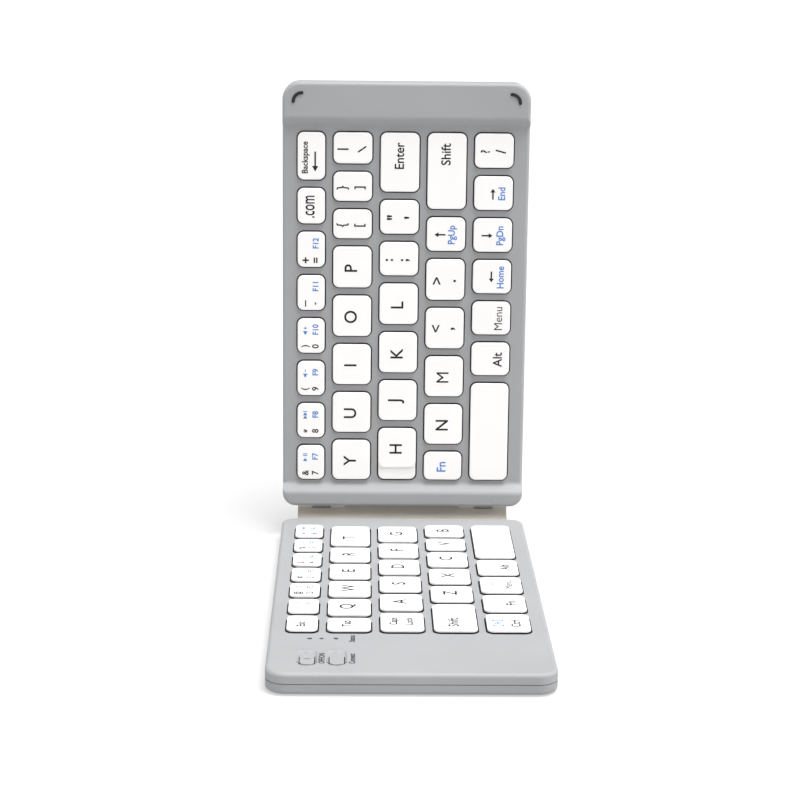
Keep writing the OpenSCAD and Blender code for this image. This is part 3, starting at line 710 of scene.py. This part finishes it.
def dimple_slope(bm, matrix):
    """Soft slope inside a finger dimple, from the deck down to the dimple's floor: short at the
    sides and long at the end towards the hinge. x runs away from the hinge."""
    radius, run = DIMPLE_W / 2 - SLOPE_GAP, DIMPLE_LEN / 2 - DIMPLE_W / 2
    steps = 24
    # Every point of the outer edge: x, y, length of the slope there, outward direction
    path = [(run, radius, SLOPE_SIDE, 0.0, 1.0)]
    for i in range(steps + 1):
        a = math.pi / 2 + math.pi * i / steps
        reach = SLOPE_SIDE + (SLOPE_END - SLOPE_SIDE) * math.sin(math.pi * i / steps) ** 2
        path.append((-run + radius * math.cos(a), radius * math.sin(a), reach, math.cos(a),
                     math.sin(a)))
    path.append((run, -radius, SLOPE_SIDE, 0.0, -1.0))
    rows = []
    for x, y, reach, nx, ny in path:
        profile = [(x, y, -DIMPLE_D - SLOPE_UNDER)]
        for t in (0, 0.1, 0.25, 0.4, 0.6, 0.75, 0.9, 1):
            profile.append((x - t * reach * nx, y - t * reach * ny,
                            -SLOPE_TOP - DIMPLE_D * t * t * (3 - 2 * t)))
        rows.append([bm.verts.new(matrix @ (Vector(p) * MM)) for p in profile])
    for one, two in zip(rows, rows[1:]):
        for i in range(len(one)):
            j = (i + 1) % len(one)
            bm.faces.new((one[i], one[j], two[j], two[i])).smooth = i > 0 and j > 0
    bm.faces.new(rows[0])
    bm.faces.new(rows[-1][::-1])


def screw_head(bm, radius, matrix):
    """A low domed head with a sunk cross, its rim on z = 0 and its top along +z."""
    steps, dome, sink = 48, SCREW_DOME * MM, SCREW_SINK * MM
    # Rings from the rim up to the flat top: share of the radius, share of the dome's height
    rings = [(1.0, 0.0), (0.97, 0.45), (0.86, 0.78), (0.68, 0.95), (0.62, 1.0)]
    loops = []
    for share, height in rings:
        loops.append([bm.verts.new(matrix @ Vector((
            radius * share * math.cos(2 * math.pi * i / steps),
            radius * share * math.sin(2 * math.pi * i / steps), dome * height)))
            for i in range(steps)])
    for lower, upper in zip(loops, loops[1:]):
        for i in range(steps):
            j = (i + 1) % steps
            bm.faces.new((lower[i], lower[j], upper[j], upper[i])).smooth = True
    bm.faces.new(loops[0][::-1])
    # The flat top is cut into the cross, which narrows downwards, and the part round it
    arm, reach, narrowing = radius * 0.16, radius * 0.46, 0.8
    cross = [(arm, arm), (arm, reach), (-arm, reach), (-arm, arm), (-reach, arm), (-reach, -arm),
             (-arm, -arm), (-arm, -reach), (arm, -reach), (arm, -arm), (reach, -arm), (reach, arm)]
    lip = [bm.verts.new(matrix @ Vector((x, y, dome))) for x, y in cross]
    pit = [bm.verts.new(matrix @ Vector((x * narrowing, y * narrowing, dome - sink)))
           for x, y in cross]
    for i in range(len(cross)):
        j = (i + 1) % len(cross)
        bm.faces.new((lip[i], lip[j], pit[j], pit[i]))
    bm.faces.new(pit)
    edges = [bm.edges.get((a, b)) for loop in (loops[-1], lip)
             for a, b in zip(loop, loop[1:] + loop[:1])]
    bmesh.ops.triangle_fill(bm, use_beauty=True, use_dissolve=False, edges=edges)


# ---------- studio ----------

# The frame's side and the focal length are in pixels, the camera's place in millimetres and its
# angles in radians
FRAME_SIDE = 800
CAMERA_FOCAL = 2130.0
CAMERA_PLACE = (-701.9, -15.1, 230.6)
CAMERA_YAW = -0.0204
CAMERA_PITCH = 0.248
CAMERA_ROLL = 0.0114

# Floor: half its side in metres, and the strength of its light from below
FLOOR_HALF = 30.0
FLOOR_GLOW = 0.52
# The studio's walls are at full brightness up to SKY_FROM and at SKY_LEVEL from SKY_TO upwards,
# as heights of the way that the light comes from
SKY_FROM = 0.16
SKY_TO = 0.4
SKY_LEVEL = 0.25
# Wide, soft lamps: name, strength, spread (radians), direction that the light comes from
LAMPS = [("overhead_soft_light", 4.55, 0.6, (-0.14, -0.22, 1.0)),
         ("front_soft_light", 0.85, 0.4, (-0.5, -0.2, 0.84)),
         ("right_soft_light", 0.95, 0.6, (-0.12, -1.0, 0.3)),
         ("left_soft_light", 0.5, 0.6, (-0.12, 1.0, 0.3))]


# ---------- operators ----------

class KEYBOARD_OT_cases(Operator):
    """Finishes the two case halves, their buttons and the hinge spine."""
    bl_idname = "keyboard.cases"
    bl_label = "Cases and spine"

    def execute(self, context):
        colours = context.scene.keyboard_colours
        grain = context.scene.keyboard_sizes.moulding_grain
        for side, pieces in (("left", ["left_top_case", "power_button", "connect_button"]),
                             ("right", ["right_top_case"])):
            # The upper cases get painted shade: the walls of the key openings below the deck are painted
            # near-black
            dress(pieces, moulded_plastic(
                "abs_satin_moulded_light_grey_" + side, tuple(colours.case), grain,
                roughness=0.62, relief=0.35, dark=(tuple(colours.shade), side, *CASE_PAINTED_SHADE)))
        dress(["left_bottom_case", "right_bottom_case"], moulded_plastic(
            "abs_satin_moulded_lower_case", toned(colours.case, LOWER_CASE_SHADE), grain,
            roughness=0.64, relief=0.35))
        dress(["hinge_spine"], moulded_plastic(
            "nylon_matt_moulded_warm_grey", tuple(colours.spine), grain * 1.4,
            roughness=0.62, relief=0.5, mottle=0.05))
        return {"FINISHED"}


class KEYBOARD_OT_caps(Operator):
    """Finishes the white key caps."""
    bl_idname = "keyboard.caps"
    bl_label = "Key caps"

    def execute(self, context):
        colours = context.scene.keyboard_colours
        grain = context.scene.keyboard_sizes.moulding_grain
        for side, rows in (("left", LEFT_ROWS), ("right", RIGHT_ROWS)):
            # The caps get painted shade: their lower walls, up to 0.4 mm above the deck, are painted
            # near-black
            dress(sorted({node for row in rows for node, _, _ in row}), moulded_plastic(
                "abs_fine_satin_moulded_white_" + side, tuple(colours.caps), grain * 0.8,
                roughness=0.42, relief=0.18, mottle=0.012,
                dark=(tuple(colours.shade), side, *CAPS_PAINTED_SHADE)))
        return {"FINISHED"}


class KEYBOARD_OT_legends(Operator):
    """Prints the legends on the key caps."""
    bl_idname = "keyboard.legends"
    bl_label = "Key legends"

    def execute(self, context):
        colours = context.scene.keyboard_colours
        sizes = context.scene.keyboard_sizes
        inks = [printed_ink("ink_pad_printed_dark_grey", tuple(colours.ink)),
                printed_ink("ink_pad_printed_blue", tuple(colours.second_ink))]
        body_of = {node: body for body, nodes in
                   frame["record"]["behaviour"]["bodies"].items() for node in nodes}
        prints = {}
        for rows, start, field, place, flip in (
                (LEFT_ROWS, START_LEFT, FIELD_LEFT, left_place(), MIRROR),
                (RIGHT_ROWS, START_RIGHT, FIELD_RIGHT, right_place(), Matrix.Identity(4))):
            for node, legends, x, y in cap_places(rows, start, field):
                spot = place @ Matrix.Translation(
                    (x * MM, y * MM, (CAP_RISE + PRINT_LIFT) * MM)) @ flip
                for legend in legends:
                    if node not in prints:
                        prints[node] = bmesh.new()
                    add_legend(prints[node], legend, spot, sizes.ink_film, sizes.legend_scale)
        for node, bm in prints.items():
            add_object("print_" + node, bm, inks, body_of[node])
        return {"FINISHED"}


class KEYBOARD_OT_controls(Operator):
    """Prints the words and symbols round the push-buttons and the status lights."""
    bl_idname = "keyboard.controls"
    bl_label = "Control area"

    def execute(self, context):
        film = context.scene.keyboard_sizes.ink_film
        ink = printed_ink("ink_pad_printed_grey", linear("#2e3033"))

        def spot(inward, y, z=PRINT_LIFT):
            return left_place() @ Matrix.Translation(
                ((HALF_LEN - inward) * MM, y * MM, z * MM)) @ MIRROR

        bm = bmesh.new()
        for text, inward, y in (("OFF/ON", 12.0, BUTTON_Y[0] - 4.2),
                                ("Connect", 11.8, BUTTON_Y[1] - 4.4),
                                ("Status", WINDOW_IN, WINDOW_Y[2] - 4.8)):
            add_text(bm, text, CONTROL_TEXT * MM, film, spot(inward, y))
        for name, y in zip(("lock", "bolt", "waves"), WINDOW_Y):
            add_legend(bm, (name, 0, 0, STATUS_MARK, "dark"), spot(WINDOW_IN, y), film)
        add_object("control_print", bm, [ink], "left_half")

        slopes = bmesh.new()
        for y in BUTTON_Y:
            dimple_slope(slopes, left_place() @ Matrix.Translation(
                ((HALF_LEN - BUTTON_IN + DIMPLE_SHIFT) * MM, y * MM, 0)))
        add_object("dimple_slopes", slopes, [frame["nodes"]["left_top_case"].data.materials[0]],
                   "left_half")

        line = bmesh.new()
        half_width, half_length = (size * MM for size in BUTTON_LINE)
        add_prism(line, bar(-half_width, -half_length, half_width, half_length), film,
                  spot(BUTTON_IN, BUTTON_Y[0], BUTTON_RISE + PRINT_LIFT))
        add_object("power_button_mark", line, [ink], "power_push")

        dress(["status_windows"], clear_window("polycarbonate_polished_smoked"))
        return {"FINISHED"}


class KEYBOARD_OT_rubber(Operator):
    """Finishes the corner bumpers, the feet and the dome sheets."""
    bl_idname = "keyboard.rubber"
    bl_label = "Rubber pieces"

    def execute(self, context):
        colours = context.scene.keyboard_colours
        dress(["corner_bumpers"], moulded_rubber(
            "silicone_moulded_black", tuple(colours.rubber), roughness=0.6))
        dress(["left_feet", "right_feet"], moulded_rubber(
            "silicone_moulded_grey", linear("#7d7f81")))
        dress(["left_switch_sheet", "right_switch_sheet"], moulded_rubber(
            "silicone_dome_sheet_translucent", linear("#d4d4cf"), roughness=0.45))
        return {"FINISHED"}


class KEYBOARD_OT_hidden(Operator):
    """Finishes the metal pieces, the board, the battery and the ribbon cable."""
    bl_idname = "keyboard.hidden"
    bl_label = "Inner pieces"

    def execute(self, context):
        dress(["hinge_pins"], worked_metal(
            "steel_ground", linear("#8e9092"), roughness=0.3, grain=0.6 * MM, axis=(12, 1, 12)))
        dress(["charging_socket"], worked_metal(
            "steel_stamped_tin_plated", linear("#a9a6a2"), roughness=0.32, grain=0.8 * MM))
        dress(["left_support_plate", "right_support_plate"], worked_metal(
            "aluminium_rolled_sheet", linear("#b4b7ba"), roughness=0.38, grain=1.5 * MM))
        dress(["battery"], worked_metal(
            "aluminium_laminate_pouch", linear("#aeb0b2"), roughness=0.45, grain=4.0 * MM,
            axis=(1, 1, 1)))
        dress(["main_board"], board_laminate("glass_fibre_laminate_green_mask"))
        dress(["ribbon_cable"], moulded_plastic(
            "polyimide_film_amber", linear("#a9763f"), 0.3 * MM, roughness=0.3, relief=0.1,
            mottle=0.05, ior=1.6))
        return {"FINISHED"}


class KEYBOARD_OT_screws(Operator):
    """Sets the small cross-head screws into the bottom of each half."""
    bl_idname = "keyboard.screws"
    bl_label = "Case screws"

    def execute(self, context):
        radius = context.scene.keyboard_sizes.screw_head / 2
        black = worked_metal("steel_blackened_screw", linear("#4a4b4d"), roughness=0.4,
                             grain=0.3 * MM, axis=(1, 1, 1))
        for side, place in (("left", left_place()), ("right", right_place())):
            bm = bmesh.new()
            for x in (SCREW_NEAR, HALF_LEN - SCREW_FAR):
                for y in (-SCREW_Y, SCREW_Y):
                    screw_head(bm, radius, place @ Matrix.Translation(
                        (x * MM, y * MM, -CASE_T * MM)) @ Matrix.Rotation(math.pi, 4, "X"))
            add_object(side + "_case_screws", bm, [black], side + "_half")
        return {"FINISHED"}


class KEYBOARD_OT_stage(Operator):
    """Sets the floor, the soft lights and the camera."""
    bl_idname = "keyboard.stage"
    bl_label = "Studio"

    def execute(self, context):
        bm = bmesh.new()
        bmesh.ops.create_grid(bm, x_segments=8, y_segments=8, size=FLOOR_HALF)
        mesh = bpy.data.meshes.new("studio_floor")
        bm.to_mesh(mesh)
        bm.free()
        mesh.materials.append(studio_paper("paper_matt_pale_backdrop"))
        floor = bpy.data.objects.new("studio_floor", mesh)
        context.scene.collection.objects.link(floor)
        floor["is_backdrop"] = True

        # The walls of the studio are bright near the floor and dim overhead
        world = bpy.data.worlds.new("studio_light")
        context.scene.world = world
        world.use_nodes = True
        tree = world.node_tree
        way = add_node(tree, "ShaderNodeTexCoord").outputs["Generated"]
        height = add_node(tree, "ShaderNodeSeparateXYZ", {"Vector": way}).outputs["Z"]
        fill_node(tree, tree.nodes["Background"], {
            "Color": (1, 1, 1, 1),
            "Strength": map_range(tree, height, SKY_FROM, SKY_TO, 1.0, SKY_LEVEL)})

        for name, strength, spread, source in LAMPS:
            lamp = bpy.data.lights.new(name, "SUN")
            lamp.energy = strength
            lamp.angle = spread
            carrier = bpy.data.objects.new(name, lamp)
            carrier.rotation_euler = Vector(source).to_track_quat("Z", "Y").to_euler()
            context.scene.collection.objects.link(carrier)
        context.scene.view_settings.view_transform = "Standard"

        lens = bpy.data.cameras.new("camera")
        lens.sensor_width = 36.0
        lens.lens = CAMERA_FOCAL * lens.sensor_width / FRAME_SIDE
        lens.clip_start = 0.01
        lens.clip_end = 50
        camera = bpy.data.objects.new("camera", lens)
        turn = Matrix.Rotation(-math.pi / 2 + CAMERA_YAW, 4, "Z") @ Matrix.Rotation(
            math.pi / 2 - CAMERA_PITCH, 4, "X") @ Matrix.Rotation(CAMERA_ROLL, 4, "Z")
        camera.matrix_world = Matrix.Translation([v * MM for v in CAMERA_PLACE]) @ turn
        context.scene.collection.objects.link(camera)
        context.scene.camera = camera
        return {"FINISHED"}


class KEYBOARD_PT_panel(Panel):
    """Lists the keyboard's pieces, colours and sizes."""
    bl_idname = "KEYBOARD_PT_panel"
    bl_label = "Folding keyboard"
    bl_space_type = "VIEW_3D"
    bl_region_type = "UI"
    bl_category = "Keyboard"

    def draw(self, context):
        for group in (context.scene.keyboard_colours, context.scene.keyboard_sizes):
            for name in group.__annotations__:
                self.layout.prop(group, name)
        for operator in OPERATORS:
            self.layout.operator(operator.bl_idname)


OPERATORS = [KEYBOARD_OT_cases, KEYBOARD_OT_caps, KEYBOARD_OT_legends, KEYBOARD_OT_controls,
             KEYBOARD_OT_rubber, KEYBOARD_OT_hidden, KEYBOARD_OT_screws, KEYBOARD_OT_stage]
CLASSES = [KeyboardColours, KeyboardSizes, *OPERATORS, KEYBOARD_PT_panel]


def register():
    for item in CLASSES:
        bpy.utils.register_class(item)
    bpy.types.Scene.keyboard_colours = PointerProperty(type=KeyboardColours)
    bpy.types.Scene.keyboard_sizes = PointerProperty(type=KeyboardSizes)


def unregister():
    del bpy.types.Scene.keyboard_sizes
    del bpy.types.Scene.keyboard_colours
    for item in reversed(CLASSES):
        bpy.utils.unregister_class(item)


def main():
    register()
    for operator in OPERATORS:
        group, name = operator.bl_idname.split(".")
        getattr(getattr(bpy.ops, group), name)()
    boxes = {"cad": cad_box, "visual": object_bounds()}
    plain = {key: [[float(v) for v in corner] for corner in value] for key, value in boxes.items()}


if __name__ == "__main__":
    main()
